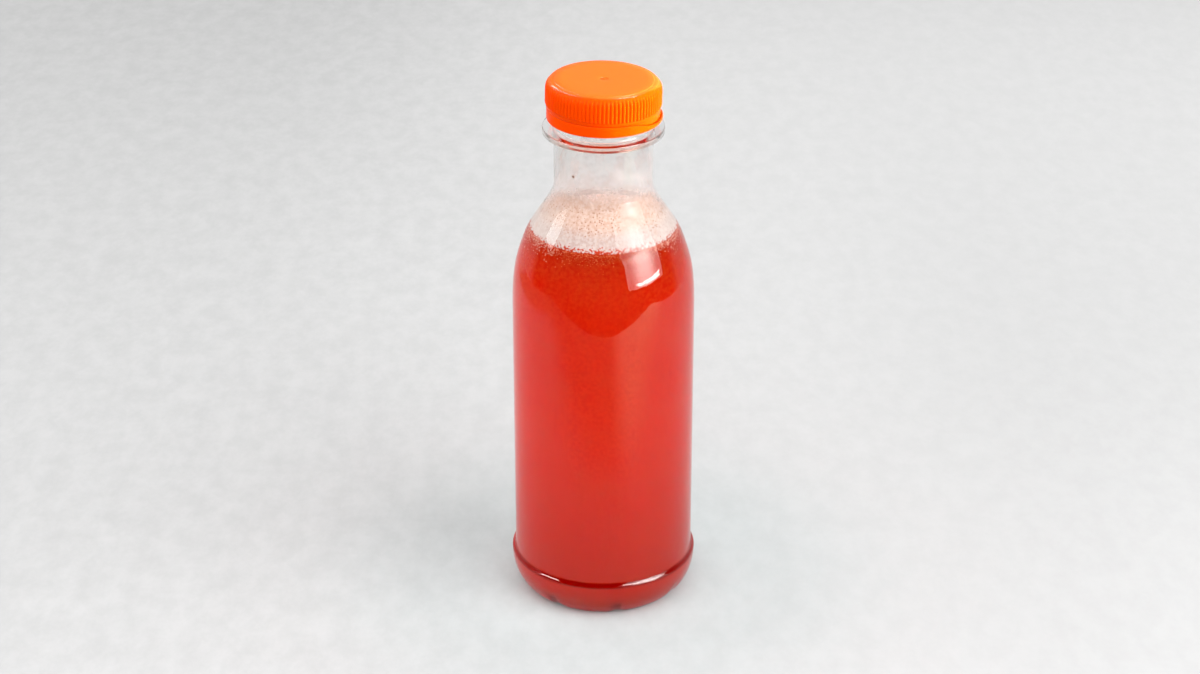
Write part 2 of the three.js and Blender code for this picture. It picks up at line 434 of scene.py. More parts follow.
class Look(Tree):
    """A material's node tree."""

    def __init__(self, name):
        self.material = bpy.data.materials.new(name)
        self.material.use_nodes = True
        super().__init__(self.material.node_tree)
        self.output = self.add("ShaderNodeOutputMaterial")
        self.place = self.add("ShaderNodeTexCoord").outputs["Object"]

    def surface(self, shader):
        self.tree.links.new(shader, self.output.inputs["Surface"])

    def noise(self, size_mm, detail=2.0, roughness=0.5, stretch=(1, 1, 1)):
        """Noise from 0 to 1, with blobs of that size, stretched along the axes."""
        spread = self.add("ShaderNodeMapping", {"Vector": self.place, "Scale": [1 / s for s in stretch]})
        inputs = {
            "Vector": spread.outputs["Vector"],
            "Scale": 1 / (size_mm * MM),
            "Detail": detail,
            "Roughness": roughness,
        }
        return self.add("ShaderNodeTexNoise", inputs).outputs["Fac"]

    def blend(self, share, a, b):
        """Colour a at share 0 and b at share 1."""
        return self.add("ShaderNodeMix", {0: share, 6: a, 7: b}, data_type="RGBA").outputs[2]

    def spots(self, spacing_mm, full, gone):
        """Round spots, 1 inside and 0 between them, with their radii as shares of the spacing."""
        inputs = {"Vector": self.place, "Scale": 1 / (spacing_mm * MM), "Randomness": 1.0}
        distance = self.add("ShaderNodeTexVoronoi", inputs).outputs["Distance"]
        return self.between(distance, full, gone, 1.0, 0.0)

    def vectors(self, operation, inputs, output):
        """What comes out of a sum with colours or places."""
        return self.add("ShaderNodeVectorMath", inputs, operation=operation).outputs[output]

    def bump(self, height, depth_mm):
        inputs = {"Height": height, "Distance": depth_mm * MM, "Strength": 1.0}
        return self.add("ShaderNodeBump", inputs).outputs["Normal"]

    def axis(self, name):
        return self.add("ShaderNodeSeparateXYZ", {"Vector": self.place}).outputs[name]

    def passing(self, place, low_mm, high_mm, to_low=0.0, to_high=1.0):
        """Moves smoothly from one value to another as a place goes from low to high."""
        return self.between(place, low_mm * MM, high_mm * MM, to_low, to_high)

    def marked(self, name):
        """What mark gave the piece's points under this name."""
        return self.add("ShaderNodeAttribute", attribute_name=name).outputs["Fac"]


def rgb(red, green, blue):
    return (red, green, blue, 1.0)


def clear_plastic():
    """Blown clear plastic with faint waves, which shines cooler over the foam and duller where the film
    clings to it. A painted pink glow, for the drink's red seen through it, lies in the front of the
    flange's edge, and in the notches painted shade turns its colour and reflections dark red. Lamps and
    diffuse light pass straight through it."""
    look = Look("clear_plastic")
    waves = look.noise(14, detail=1.0, stretch=(1, 1, 2.5))
    smudges = look.between(look.noise(9, detail=4.0), 0.45, 0.75, 0.006, 0.03)
    # Painted shade: in the notches the base and reflection tints turn dark red, for the floor there lying
    # in the bottle's shadow and the drink behind.
    notch = look.marked("notch")
    x, y, height = (look.axis(name) for name in "XYZ")
    r = look.math("SQRT", look.math("MULTIPLY_ADD", x, x, look.product(y, y)))
    # Painted glow: the front of the flange's edge is tinted pink, for the drink's red seen through it.
    from_below = look.passing(height, FLANGE_BOTTOM - 0.3, FLANGE_BOTTOM)
    to_above = look.passing(height, FLANGE_TOP + 0.1, FLANGE_TOP + 0.4, 1.0, 0.0)
    flange_glow_front = look.product(look.product(from_below, to_above), look.passing(y, -17, -7, 1.0, 0.0))
    flange = look.product(flange_glow_front, look.passing(r, FLANGE_R - 3.6, FLANGE_R - 1.6))
    tint = look.blend(flange, rgb(0.985, 0.985, 0.98), rgb(0.98, 0.62, 0.50))
    above_foam = look.passing(height, FOAM_TOP + 1.3, FOAM_TOP + 6.3)
    dull = look.product(above_foam, look.passing(height, NECK_BOTTOM + 2.3, NECK_BOTTOM + 8.3, 1.0, 0.0))
    over_foam = look.passing(height, LIQUID_LEVEL - 0.6, LIQUID_LEVEL + 2.1)
    cool = look.blend(over_foam, rgb(1.0, 0.99, 0.94), rgb(0.75, 0.96, 1.0))
    shine = look.blend(dull, cool, rgb(0.33, 0.40, 0.42))
    glass = look.add("ShaderNodeBsdfPrincipled", {
        "Base Color": look.blend(notch, tint, rgb(0.75, 0.07, 0.04)),
        "Roughness": smudges,
        "IOR": 1.42,
        "Specular Tint": look.blend(notch, shine, rgb(0.25, 0.03, 0.02)),
        "Transmission Weight": 1.0,
        "Normal": look.bump(waves, 0.05),
    })
    open_way = look.add("ShaderNodeBsdfTransparent", {"Color": rgb(0.97, 0.97, 0.97)})
    path = look.add("ShaderNodeLightPath")
    lit = look.add("ShaderNodeMixShader", {
        0: path.outputs["Is Diffuse Ray"], 1: glass.outputs[0], 2: open_way.outputs[0],
    })
    shown = look.add("ShaderNodeMixShader", {
        0: path.outputs["Is Shadow Ray"], 1: lit.outputs[0], 2: open_way.outputs[0],
    })
    look.surface(shown.outputs[0])
    return look.material


def cap_plastic():
    """Bright orange moulded satin plastic. Painted light and a painted sheen make its top paler, and
    painted shade darkens the gate mark.
    """
    look = Look("cap_plastic")
    # Painted light and a painted sheen: the top mark gives the top and upper corner a paler orange, for the
    # light falling on them and the backdrop they reflect.
    top = look.marked("top")
    # Painted shade: the gate mark darkens the dimple in the middle of the top, where shade falls in it.
    gate = look.marked("gate")
    tint = look.blend(look.noise(6, detail=3.0), rgb(0.79, 0.053, 0.0003), rgb(0.83, 0.060, 0.0005))
    painted_light_top = look.blend(top, tint, rgb(0.85, 0.107, 0.0115))
    skin = look.add("ShaderNodeBsdfPrincipled", {
        "Base Color": look.blend(look.product(gate, 0.7), painted_light_top, rgb(0.60, 0.065, 0.004)),
        "Roughness": look.between(look.noise(2.5, detail=4.0), 0.3, 0.7, 0.18, 0.24),
        "IOR": 1.5,
        "Specular IOR Level": 0.022,
        "Subsurface Weight": 0.15,
        "Subsurface Radius": (1.0, 0.1, 0.03),
        "Subsurface Scale": 0.004,
        "Normal": look.bump(look.noise(8, detail=1.0), 0.05),
    })
    look.surface(skin.outputs[0])
    return look.material


def lemonade_look():
    """Cloudy red drink: a fine grain of pulp, paler clouds, streaks down the wall and more orange near the
    foam. Painted shade deepens it towards the base, in the crease above the heel and behind the notches,
    and a painted glow of light from the table gives a purer red at the bottom."""
    look = Look("lemonade")
    height = look.axis("Z")
    # Painted shade: the crease above the heel and the drink behind the notches are darkened to a deep red.
    crease_and_notch_shade = look.marked("crease_and_notch_shade")
    near_foam = look.passing(height, PANEL_TOP - 2.5, LIQUID_LEVEL - 4.4)
    # Painted shade: darker towards the base, where less light reaches the drink.
    painted_base_shade = look.passing(height, 12, 85, 1.0, 0.0)
    # Painted light: a brighter, purer red at the bottom, for light that enters the drink from the table.
    painted_table_glow = look.passing(height, 1.5, 6, 0.8, 0.0)
    grain = look.between(look.noise(1.3, detail=3.0), 0.3, 0.7)
    deep = look.blend(grain, rgb(0.41, 0.008, 0.001), rgb(0.47, 0.015, 0.002))
    high = look.blend(grain, rgb(0.375, 0.012, 0.002), rgb(0.43, 0.028, 0.005))
    low = rgb(0.33, 0.008, 0.001)
    streaks = look.between(look.noise(2.2, detail=2.0, stretch=(1, 1, 9)), 0.35, 0.75)
    clouds = look.between(look.noise(13, detail=4.0, roughness=0.6), 0.38, 0.68, 0.0, 0.5)
    body = look.blend(near_foam, look.blend(clouds, deep, rgb(0.42, 0.022, 0.006)), high)
    streaked = look.blend(look.product(streaks, 0.35), body, rgb(0.47, 0.017, 0.005))
    darker = look.blend(look.product(painted_base_shade, 0.9), streaked, low)
    glowing = look.blend(painted_table_glow, darker, rgb(0.55, 0.004, 0.001))
    shaded_in_creases = look.blend(look.product(crease_and_notch_shade, 0.9), glowing, rgb(0.17, 0.001, 0.0005))
    drink = look.add("ShaderNodeBsdfPrincipled", {
        "Base Color": shaded_in_creases,
        "Roughness": 0.6,
        "Specular IOR Level": 0.0,
        "Subsurface Weight": 1.0,
        "Subsurface Radius": (1.0, 0.01, 0.006),
        "Subsurface Scale": 0.12,
        "Normal": look.bump(look.noise(0.8, detail=2.0), 0.05),
    })
    look.surface(drink.outputs[0])
    return look.material


def foam_colour(look):
    """Pale pink foam against the wall, whiter at the sides: faint round cells, clusters of small
    brown pores, and a lower edge that breaks up into the drink."""
    height = look.axis("Z")
    aside = look.passing(look.math("ABSOLUTE", look.axis("X")), 10, 21)
    pores = look.spots(1.1, 0.14, 0.30)
    cells = look.spots(6.0, 0.27, 0.33)
    rims = look.math("SUBTRACT", look.spots(6.0, 0.36, 0.42), cells)
    mottle = look.between(look.noise(1.1, detail=4.0), 0.3, 0.7)
    low = look.blend(mottle, rgb(0.45, 0.33, 0.30), rgb(0.53, 0.44, 0.41))
    high = look.blend(mottle, rgb(0.53, 0.34, 0.265), rgb(0.63, 0.47, 0.405))
    pale = look.blend(look.passing(height, FOAM_TOP - 0.7, FOAM_TOP + 4.3), low, high)
    whiter = look.blend(look.product(aside, 0.4), pale, rgb(0.55, 0.48, 0.44))
    edged = look.blend(look.product(rims, 0.2), whiter, rgb(0.52, 0.32, 0.24))
    clusters = look.between(look.noise(9, detail=1.0), 0.35, 0.55, 0.25, 1.0)
    fewer_above = look.passing(height, FOAM_TOP + 6.3, FOAM_TOP + 11.3, 1.0, 0.3)
    fewer_behind = look.passing(look.axis("Y"), -5, 5, 1.0, 0.2)
    middle = look.product(look.passing(height, FOAM_TOP - 1.2, FOAM_TOP + 1.3), fewer_above)
    places = look.product(look.product(middle, fewer_behind), clusters)
    pored = look.blend(look.product(pores, places), edged, rgb(0.33, 0.15, 0.085))
    lower_aside = look.math("MULTIPLY_ADD", aside, 0.6 * MM, height)
    fading = look.passing(lower_aside, LIQUID_LEVEL - 3.9, LIQUID_LEVEL + 5.6, -0.32, 0.32)
    grains = look.math("ADD", look.noise(0.7, detail=3.0), fading)
    return look.blend(look.between(grains, 0.42, 0.52, 1.0, 0.0), pored, rgb(0.42, 0.03, 0.008))


def foam_look():
    """Pale pink foam, darker and more orange in the pores and large bubbles of its top."""
    look = Look("foam")
    pore = look.marked("pore")
    bubble = look.marked("bubble")
    lid = look.passing(look.axis("Z"), FOAM_TOP - 1.2, FOAM_TOP - 0.8)
    mottle = look.noise(1.6, detail=4.0)
    top = look.blend(mottle, rgb(0.64, 0.46, 0.40), rgb(0.72, 0.57, 0.52))
    pale = look.blend(lid, foam_colour(look), top)
    orange = look.blend(look.product(bubble, 0.45), pale, rgb(0.72, 0.36, 0.22))
    colour = look.blend(look.product(pore, 0.85), orange, rgb(0.42, 0.14, 0.07))
    skin = look.add("ShaderNodeBsdfPrincipled", {
        "Base Color": colour,
        "Roughness": look.between(look.noise(1.0), 0.3, 0.7, 0.45, 0.75),
        "Specular IOR Level": 0.05,
        "Normal": look.bump(look.noise(0.4, detail=3.0), 0.05),
    })
    look.surface(skin.outputs[0])
    return look.material


def bubbles_look():
    """Small bubbles against the wall, from deep red to orange, and to pale pink at the sides."""
    look = Look("bubbles")
    aside = look.passing(look.math("ABSOLUTE", look.axis("X")), 12, 22)
    pale = look.blend(aside, rgb(0.62, 0.13, 0.05), rgb(0.60, 0.30, 0.23))
    share = look.between(look.noise(0.5, detail=1.0), 0.35, 0.60)
    skin = look.add("ShaderNodeBsdfPrincipled", {
        "Base Color": look.blend(share, rgb(0.45, 0.03, 0.008), pale),
        "Roughness": 0.5,
        "Specular IOR Level": 0.0,
    })
    look.surface(skin.outputs[0])
    return look.material


def film_look():
    """Foam clinging to the inside of the shoulder, thinner and lower at the sides and back. It
    thins out as it goes up, to a milky trace in the neck."""
    look = Look("foam_film")
    height = look.axis("Z")
    wander = look.between(look.noise(7, detail=2.0), 0.3, 0.7, -1.2 * MM, 1.2 * MM)
    lower_behind = look.passing(look.axis("Y"), -18, 12, 0.0, 11 * MM)
    level = look.math("ADD", look.math("ADD", height, wander), lower_behind)
    patches = look.between(look.noise(2.4, detail=4.0, roughness=0.6), 0.35, 0.65)
    whole = look.passing(level, 156, 170.5, 1.0, 0.0)
    ragged = look.passing(level, 154.5, 164, 1.0, 0.6)
    foamy = look.product(whole, look.math("MAXIMUM", patches, ragged))
    behind = look.passing(look.axis("Y"), -15, -4)
    thin = look.product(behind, look.passing(height, FOAM_TOP + 0.3, FOAM_TOP + 4.3))
    thinned = look.product(foamy, look.between(thin, 0.0, 1.0, 1.0, 0.75))
    drips = look.between(look.noise(4.5, detail=4.0, stretch=(1, 1, 1.4)), 0.42, 0.72, 0.06, 0.34)
    milky = look.product(look.passing(height, FILM_TOP - 5, FILM_TOP - 3.5, 1.0, 0.0), drips)
    colour = look.blend(look.passing(level, 158, 166), foam_colour(look), rgb(0.66, 0.58, 0.56))
    skin = look.add("ShaderNodeBsdfPrincipled", {
        "Base Color": colour,
        "Roughness": look.between(look.noise(1.0), 0.3, 0.7, 0.45, 0.75),
        "Specular IOR Level": 0.0,
        "Alpha": look.math("MAXIMUM", thinned, milky),
    })
    look.surface(skin.outputs[0])
    return look.material


def speck_look():
    """A brown crumb."""
    look = Look("crumb")
    share = look.noise(0.3, detail=2.0)
    skin = look.add("ShaderNodeBsdfPrincipled", {
        "Base Color": look.blend(share, rgb(0.10, 0.04, 0.02), rgb(0.24, 0.12, 0.08)),
        "Roughness": 0.7,
        "Specular IOR Level": 0.0,
    })
    look.surface(skin.outputs[0])
    return look.material


def floor_look():
    """Pale grey plaster board, finely mottled and flecked, with painted light and shade: darker near the
    bottle on the right and lighter far behind on the right. Next to the bottle painted light makes it a
    little lighter and a painted cyan cast takes off the drink's red bounce. Out of view, where the bottle
    reflects it, painted shade makes it warmer and dimmer before the bottle and at the far left, and a
    painted sheen makes it brighter at the right front."""
    look = Look("pale_board")
    across = look.axis("X")
    along = look.axis("Y")
    # Painted light and shade: the board is darker near the bottle on the right and lighter far behind on
    # the right.
    near = look.blend(look.passing(across, 60, 200), rgb(0.41, 0.41, 0.41), rgb(0.375, 0.375, 0.375))
    far = look.blend(look.passing(across, -200, 20), rgb(0.40, 0.40, 0.40), rgb(0.462, 0.462, 0.462))
    pale = look.blend(look.passing(along, 100, 600), near, far)
    plaster = look.noise(9, detail=8.0, roughness=0.66, stretch=(1, 1.7, 1))
    cloud = look.between(plaster, 0.25, 0.75, -0.06, 0.06)
    contrast = look.passing(across, -150, 200, 1.0, 0.5)
    shade = look.math("ADD", look.product(cloud, contrast), 1.0)
    flecks = look.product(look.spots(70, 0.006, 0.012), 0.35)
    mottled = look.vectors("SCALE", {0: pale, "Scale": shade}, "Vector")
    flecked = look.blend(flecks, mottled, rgb(0.10, 0.10, 0.10))
    # Painted light: next to the bottle the board is lighter, lifting the bottle's shadow, and a faint cyan
    # cast cancels the drink's red bounce.
    away = look.vectors("LENGTH", {0: look.place}, "Value")
    beside = look.passing(along, -55, -25, 0.3, 1.0)
    lift = look.math("MULTIPLY_ADD", look.passing(away, 34, 75, 0.14, 0.0), beside, 1.0)
    red_bounce_cancelled = look.product(lift, look.passing(away, 30, 130, 0.925, 1.0))
    painted_light_near_bottle = look.add("ShaderNodeCombineXYZ", {"X": red_bounce_cancelled, "Y": lift, "Z": lift})
    neutral = look.vectors("MULTIPLY", {0: flecked, 1: painted_light_near_bottle.outputs[0]}, "Vector")
    # Painted shade and light where the bottle reflects the board out of view: dimmer and warmer before the
    # bottle and at the far left, and a painted sheen makes it brighter at the right front.
    through = look.add("ShaderNodeLightPath").outputs["Is Transmission Ray"]
    unseen = look.math("SUBTRACT", 1.0, through)
    before = look.product(look.passing(along, -200, -85, 1.0, 0.0), unseen)
    front = look.blend(look.passing(across, 20, 120), rgb(0.20, 0.18, 0.12), rgb(0.80, 0.75, 0.53))
    sideways = look.product(look.passing(across, -380, -300, 1.0, 0.0), unseen)
    aside = look.product(sideways, look.passing(along, 250, 400, 1.0, 0.0))
    far_left_shade = look.blend(aside, neutral, rgb(0.22, 0.19, 0.13))
    board = look.add("ShaderNodeBsdfPrincipled", {
        "Base Color": look.blend(before, far_left_shade, front),
        "Roughness": 0.8,
        "Specular IOR Level": 0.1,
    })
    look.surface(board.outputs[0])
    return look.material


# Pieces


def bottle_shell():
    """The whole clear bottle: blown body, notched heel, flange, bead and bore."""
    bore = bore_line()
    bore_finish_r = bore[-1, 0]
    fillet_z = FLANGE_BOTTOM - FLANGE_FILLET
    edge_top = FLANGE_TOP - FLANGE_FALL
    collar_z = FLANGE_TOP + FLANGE_RISE + COLLAR_FILLET
    line = np.vstack([
        body_line(),
        straight((NECK_R, NECK_BOTTOM), (NECK_R, fillet_z), 8),
        arc((NECK_R + FLANGE_FILLET, fillet_z), FLANGE_FILLET, 180, 90, 5)[1:],
        arc((FLANGE_R - FLANGE_LOW_EDGE, FLANGE_BOTTOM + FLANGE_LOW_EDGE), FLANGE_LOW_EDGE, -90, 0, 5),
        arc((FLANGE_R - FLANGE_HIGH_EDGE, edge_top - FLANGE_HIGH_EDGE), FLANGE_HIGH_EDGE, 0, 85, 5),
        straight((FLANGE_R - 0.27, edge_top), (FINISH_R + 0.7, FLANGE_TOP + FLANGE_RISE), 6),
        arc((FINISH_R + COLLAR_FILLET, collar_z), COLLAR_FILLET, -90, -180, 6),
        straight((FINISH_R, collar_z), (FINISH_R, BEAD_BOTTOM), 4),
        arc((BEAD_R - BEAD_ROUND, BEAD_BOTTOM + BEAD_ROUND), BEAD_ROUND, -90, 60, 6),
        straight((BEAD_R - 0.25, BEAD_BOTTOM + 0.95), (FINISH_R, BEAD_TOP), 2),
        straight((FINISH_R, BEAD_TOP), (FINISH_R, RIM - RIM_ROUND), 8),
        arc((FINISH_R - RIM_ROUND, RIM - RIM_ROUND), RIM_ROUND, 0, 90, 4)[1:],
        arc((bore_finish_r + RIM_ROUND, RIM - RIM_ROUND), RIM_ROUND, 90, 180, 4),
        straight((bore_finish_r, RIM - RIM_ROUND), (bore_finish_r, BORE_STRAIGHT_FROM), 8),
        bore[::-1][1:],
    ])
    made = turned("bottle_shell", line, TURN_STEPS, notched)
    x, y, z = points_of(made).T
    # Painted shade: marks the notches, where the plastic's colour and reflections are painted dark red.
    mark(made, "notch", notch_shade(z, np.arctan2(x, -y)))
    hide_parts("bottle")
    return made


def cap_corner(height):
    """The radius between the ribs at one height of the cap's rounded top corner."""
    down = np.clip((CAP_TOP - CAP_STEP - height) / CAP_CORNER_DROP, 0, 1)
    out = (1 - (1 - down) ** CAP_CORNER_POWER) ** (1 / CAP_CORNER_POWER)
    return CAP_DISC_R + (CAP_R - RIB_DEPTH - CAP_DISC_R) * out


def seam_at(azimuth):
    """The lower edge of the cap: level, but torn lower on the right."""
    return SEAM - SEAM_DROP * smoothstep(np.sin(azimuth), 0.45, 0.95)


def tilted(points):
    """Turns the cap about the Y axis, as it sits a little askew on the neck."""
    low = points - [0, 0, CAP_PIVOT]
    x = low[:, 0] * math.cos(CAP_TILT) + low[:, 2] * math.sin(CAP_TILT)
    z = low[:, 2] * math.cos(CAP_TILT) - low[:, 0] * math.sin(CAP_TILT)
    return np.column_stack([x, low[:, 1], z + CAP_PIVOT])


def screw_cap():
    """The ribbed cap, with a rounded corner and a gate mark in the middle of its top."""
    inner_top = CAP_TOP - CAP_PANEL
    gate_rim = (GATE_R + GATE_EDGE, CAP_TOP)
    gate_bottom = CAP_TOP - GATE_DEPTH
    wall_r = CAP_R - RIB_DEPTH
    corner = CAP_TOP - CAP_STEP - CAP_CORNER_DROP * np.sin(np.linspace(math.pi / 2, 0, 18)) ** 2
    heights = np.concatenate([
        np.linspace(RIBS_BOTTOM, RIBS_FULL_FROM, 5),
        np.linspace(RIBS_FULL_FROM, corner[0], 6)[1:-1],
        corner,
    ])
    line = np.vstack([
        (0, inner_top),
        straight((0, inner_top), (CAP_INNER_R, inner_top), 4),
        straight((CAP_INNER_R, inner_top), (CAP_INNER_R, SEAM), 3),
        (wall_r - SEAM_EDGE, SEAM),
        (wall_r, SEAM + SEAM_EDGE),
        (wall_r, RIBS_BOTTOM - 0.2),
        np.column_stack([cap_corner(heights), heights]),
        (CAP_DISC_R - 0.05, CAP_TOP - 0.04),
        (CAP_DISC_R - CAP_DISC_EDGE, CAP_TOP),
        straight((CAP_DISC_R - CAP_DISC_EDGE, CAP_TOP), gate_rim, 6),
        bend(gate_rim, (GATE_R, CAP_TOP), (GATE_R, gate_bottom), (GATE_R - GATE_EDGE, gate_bottom), 4),
        (NUB_R, gate_bottom),
        (NUB_TOP_R, CAP_TOP - 0.08),
        (0, CAP_TOP - NUB_DEPTH),
    ])

    def ribbed(r, z, azimuth):
        up = smoothstep(z, RIBS_BOTTOM, RIBS_FULL_FROM)
        down = 1 - smoothstep(z, RIBS_FULL_TO, RIBS_TOP)
        ridge = 0.5 + 0.5 * np.cos(RIBS * azimuth)
        out = np.where(r > CAP_INNER_R, RIB_DEPTH * ridge**RIB_BLUNTNESS * up * down, 0)
        hang = (seam_at(azimuth) - SEAM) * np.clip((RIBS_BOTTOM - z) / (RIBS_BOTTOM - SEAM), 0, 1)
        return r + out, z + np.where(r >= CAP_INNER_R, hang, 0)

    made = turned("screw_cap", line, RIBS * RIB_STEPS, ribbed, place=tilted)
    x, y, z = points_of(made).T
    upright = CAP_PIVOT + x * math.sin(CAP_TILT) + (z - CAP_PIVOT) * math.cos(CAP_TILT)
    r = np.hypot(x, y)
    # Painted light: the pale top mark reaches further down the corner at the sides and back than at the
    # front, where more light falls on the corner.
    painted_light_to_side = 1 - smoothstep(-y / np.maximum(r, 1), 0.0, 0.6)
    reach = 0.5 + 1.8 * painted_light_to_side
    mark(made, "top", smoothstep(upright, CAP_TOP - reach, CAP_TOP - 0.3 * reach))
    # Painted shade: marks the gate's dimple to be painted darker.
    mark(made, "gate", 1 - smoothstep(r, GATE_R - 0.5, GATE_R + 0.2))
    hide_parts("cap")
    return made


def loose_band():
    """The tamper band. Its top edge follows the lower edge of the tilted cap and touches it with a
    small bridge under each rib."""
    round_top = BAND_BOTTOM + BAND_ROUND
    line = np.vstack([
        straight((BAND_INNER_R, SEAM), (BAND_INNER_R, BAND_BOTTOM), 3)[:-1],
        (BAND_INNER_R + 0.1, BAND_BOTTOM),
        arc((BAND_R - BAND_ROUND, round_top), BAND_ROUND, -90, 0, 5),
        straight((BAND_R, round_top), (BAND_R - 0.05, SEAM - BAND_EDGE), 6),
        (BAND_R - 0.1, SEAM - 0.08),
        (BAND_R - BAND_EDGE, SEAM),
        (BAND_INNER_R, SEAM),
    ])

    def follow(r, z, azimuth):
        bridges = (0.5 + 0.5 * np.cos(RIBS * azimuth)) ** 2
        top = seam_at(azimuth) - SEAM_GAP * (1 - bridges) - r * np.sin(azimuth) * math.tan(CAP_TILT)
        share = np.clip((z - round_top) / (SEAM - round_top), 0, 1)
        return r, z + (top - SEAM) * share

    def shifted(points):
        return points + [BAND_SHIFT, 0, 0]

    made = turned("loose_band", line, RIBS * RIB_STEPS, follow, closed=True, place=shifted)
    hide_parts("tamper_band")
    return made


def drink():
    """The lemonade, reaching a little into the wall so that no air gap shows."""
    side = below(bore_line(BITE), LIQUID_LEVEL)
    line = np.vstack([side, straight(side[-1], (0, LIQUID_LEVEL), 6)])
    made = turned("drink", line, TURN_STEPS, notched)
    x, y, z = points_of(made).T
    outside = np.hypot(x, y) > FOOT_INNER_R - 3
    # Painted shade: the crease above the heel and the drink behind each notch are marked to be painted
    # dark, where shade falls and little is reflected.
    above_heel = smoothstep(z, HEEL_TOP - 0.4, HEEL_TOP + 0.1)
    ledge_crease_shade = above_heel * (1 - smoothstep(z, LEDGE_TOP + 0.3, LEDGE_TOP + 0.8))
    behind_notch = 0.9 * notch_shade(z, np.arctan2(x, -y)) * outside
    mark(made, "crease_and_notch_shade", np.maximum(ledge_crease_shade, behind_notch))
    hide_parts("lemonade")
    return made


def foam_marks(random):
    """Where the foam's pores and large bubbles lie on its top, with their radii."""
    reach = bore_r(FOAM_TOP) - 1.0

    def scatter(count, radii):
        r = reach * np.sqrt(random.random(count))
        turn = random.random(count) * 2 * math.pi
        return np.column_stack([r * np.cos(turn), r * np.sin(turn), random.uniform(*radii, count)])

    return scatter(PORES, PORE_R), scatter(LARGE_BUBBLES, LARGE_BUBBLE_R)


def foam_head(random):
    """The foam: its side against the wall with an uneven lower edge, and a top of bubbles."""
    bottom_r = bore_r(LIQUID_LEVEL, BITE) + 0.03
    top_r = bore_r(FOAM_TOP, BITE)
    side_z = np.linspace(LIQUID_LEVEL, FOAM_TOP, 14)
    side_r = np.interp(side_z, (LIQUID_LEVEL, FOAM_TOP), (bottom_r, top_r))
    rings = np.linspace(0, 1, 112)[1:][::-1]
    top = np.column_stack([top_r * rings[1:], FOAM_TOP - FOAM_DISH * (1 - rings[1:] ** 4)])
    line = np.vstack([
        (0, LIQUID_LEVEL - FOAM_SUNK),
        (bottom_r - 1.2, LIQUID_LEVEL - FOAM_SUNK),
        (bottom_r - 0.1, LIQUID_LEVEL - 0.05),
        np.column_stack([side_r, side_z]),
        top,
        (0, FOAM_TOP - FOAM_DISH),
    ])
    waves = []
    for k in range(5, 90):
        size = random.uniform(0.04, 0.28) / math.sqrt(k / 8)
        waves.append((k, size, random.random() * 6.28))

    def ragged(r, z, azimuth):
        wave = sum(size * np.sin(k * azimuth + phase) for k, size, phase in waves)
        share = np.clip((LIQUID_LEVEL + FOAM_EDGE - z) / FOAM_EDGE, 0, 1)
        droop = (FOAM_EDGE_DROOP + np.clip(wave, -0.3, 1.2)) * share
        moved = np.where(r > bottom_r - 1, z - droop, z)
        widened = np.where(r > bottom_r - 1, r + (z - moved) * math.tan(SHOULDER_SLOPE), r)
        return widened, moved

    made = turned("foam_head", line, 512, ragged)
    relief(made, *foam_marks(random), top_r)
    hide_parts("foam")
    return made


def relief(piece, pores, bubbles, reach):
    """Sinks pores and raises bubble rims in the foam's top, and marks both for its colours."""
    points = points_of(piece)
    on_top = points[:, 2] > FOAM_TOP - FOAM_DISH - 0.2
    top = np.flatnonzero(on_top & (np.hypot(points[:, 0], points[:, 1]) < reach - 0.3))
    pore = np.zeros(len(points))
    bubble = np.zeros(len(points))
    lift = np.zeros(len(points))
    for x, y, radius in bubbles:
        off = np.hypot(points[top, 0] - x, points[top, 1] - y) / radius
        rim = np.exp(-(((off - 1) / BUBBLE_RIM_WIDTH) ** 2))
        inside = np.clip(1 - off, 0, 1)
        lift[top] = np.maximum(lift[top], BUBBLE_RIM * rim) - BUBBLE_DIP * smoothstep(inside, 0, 0.4)
        bubble[top] = np.maximum(bubble[top], smoothstep(inside, 0, 0.3))
    for x, y, radius in pores:
        off = np.hypot(points[top, 0] - x, points[top, 1] - y) / radius
        deep = np.exp(-(off**2) * 1.6)
        lift[top] -= PORE_DEPTH * deep
        pore[top] = np.maximum(pore[top], deep)
    points[:, 2] += np.clip(lift, -0.8, 0.3)
    piece.data.vertices.foreach_set("co", (points * MM).ravel())
    piece.data.update()
    mark(piece, "pore", pore)
    mark(piece, "bubble", bubble)


def small_balls(name, centres, radii, squash, subdivisions=1):
    """One mesh of many small balls, each flattened along its own direction away from the axis."""
    corners, faces = ball_form(subdivisions)
    points = np.empty((len(centres), len(corners), 3))
    for i, (centre, radius) in enumerate(zip(centres, radii)):
        outwards = np.array([centre[0], centre[1], 0]) / math.hypot(centre[0], centre[1])
        sideways = np.array([-outwards[1], outwards[0], 0])
        x, y, z = (corners * radius).T[:, :, None]
        points[i] = centre + x * outwards * squash + y * sideways + z * [0, 0, 1]
    shift = np.arange(len(centres))[:, None, None] * len(corners)
    return mesh_piece(name, points.reshape(-1, 3), (faces[None] + shift).reshape(-1, 3).tolist())


def ball_form(subdivisions):
    """The corners and faces of a ball: 20 triangles, and 80 with two subdivisions."""
    form = bmesh.new()
    bmesh.ops.create_icosphere(form, subdivisions=subdivisions, radius=1)
    corners = np.array([v.co for v in form.verts])
    faces = np.array([[v.index for v in f.verts] for f in form.faces])
    form.free()
    return corners, faces


